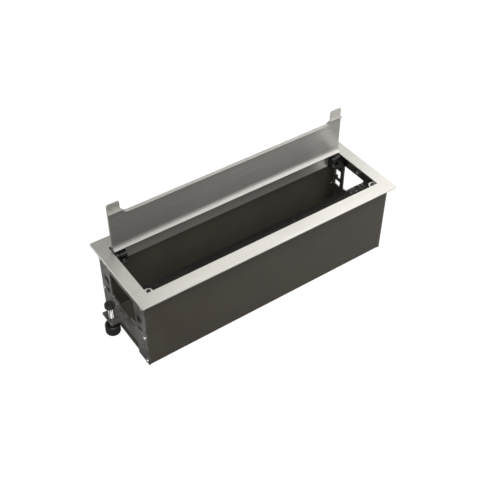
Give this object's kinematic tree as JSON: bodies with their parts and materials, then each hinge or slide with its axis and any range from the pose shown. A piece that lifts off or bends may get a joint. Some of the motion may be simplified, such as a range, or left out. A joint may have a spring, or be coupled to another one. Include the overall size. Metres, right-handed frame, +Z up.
{
  "type": "conference table box",
  "caption": "Flush table box for cables: brushed frame, dark trough, hinged lid with a cable notch and brush, and a screw clamp at each end.",
  "frame": {"origin": "middle of the trough's flat underside", "axes": "+X along the box's length, +Y towards the hinge side, +Z up; the lid stands open at a right angle"},
  "size_m": [0.4448, 0.137, 0.1956],
  "materials": {
    "stainless": "brushed along the length",
    "lid_inner": "brushed along the length",
    "dark_paint": "satin dark bronze-grey paint",
    "galvanised": "galvanised sheet",
    "zinc": "bright zinc plate",
    "black_plastic": "moulded, fine grain",
    "black_aluminium": "black anodised extrusion",
    "bristle": "nylon bristle",
    "rubber": "moulded rubber"
  },
  "bodies": {
    "housing": {"top_frame": "stainless", "trough": "dark_paint", "end_plate_left": "galvanised", "end_plate_right": "galvanised", "end_plate_screws": "zinc", "frame_nuts": "zinc", "earth_terminal": "zinc", "brush_holder": "black_aluminium", "brush_bristles": "bristle", "lid_bumpers": "rubber", "hinge_bracket_left": "black_plastic", "hinge_bracket_right": "black_plastic", "hinge_bracket_screws": "zinc", "hinge_pin_left": "zinc", "hinge_pin_right": "zinc", "clamp_nut_left": "zinc", "clamp_nut_right": "zinc"},
    "lid": {"lid_plate": "stainless", "lid_liner": "lid_inner", "hinge_arm_left": "black_plastic", "hinge_arm_right": "black_plastic", "hinge_arm_nuts": "zinc"},
    "pad_left": {"clamp_pad_left": "rubber"},
    "screw_left": {"clamp_rod_left": "zinc", "clamp_knob_left": "black_plastic"},
    "pad_right": {"clamp_pad_right": "rubber"},
    "screw_right": {"clamp_rod_right": "zinc", "clamp_knob_right": "black_plastic"}
  },
  "joints": [
    {"name": "lid_hinge", "type": "hinge", "parent": "housing", "child": "lid", "pos_m": [0, 0.0342, 0.11375], "axis": [1, 0, 0], "range_deg": [0, 90]},
    {"name": "pad_lift_left", "type": "slide", "parent": "housing", "child": "pad_left", "axis": [0, 0, 1], "range_m": [-0.018, 0.006]},
    {"name": "screw_turn_left", "type": "hinge", "parent": "pad_left", "child": "screw_left", "pos_m": [-0.2124, 0, 0.0255], "axis": [0, 0, 1], "range_deg": [-6480, 2160]},
    {"name": "pad_lift_right", "type": "slide", "parent": "housing", "child": "pad_right", "axis": [0, 0, 1], "range_m": [-0.018, 0.006]},
    {"name": "screw_turn_right", "type": "hinge", "parent": "pad_right", "child": "screw_right", "pos_m": [0.2124, 0, 0.0255], "axis": [0, 0, 1], "range_deg": [-6480, 2160]}
  ],
  "couplings": [
    {"joint": "pad_lift_left", "follows": "screw_turn_left", "m_per_rad": 0.00015915},
    {"joint": "pad_lift_right", "follows": "screw_turn_right", "m_per_rad": 0.00015915}
  ]
}
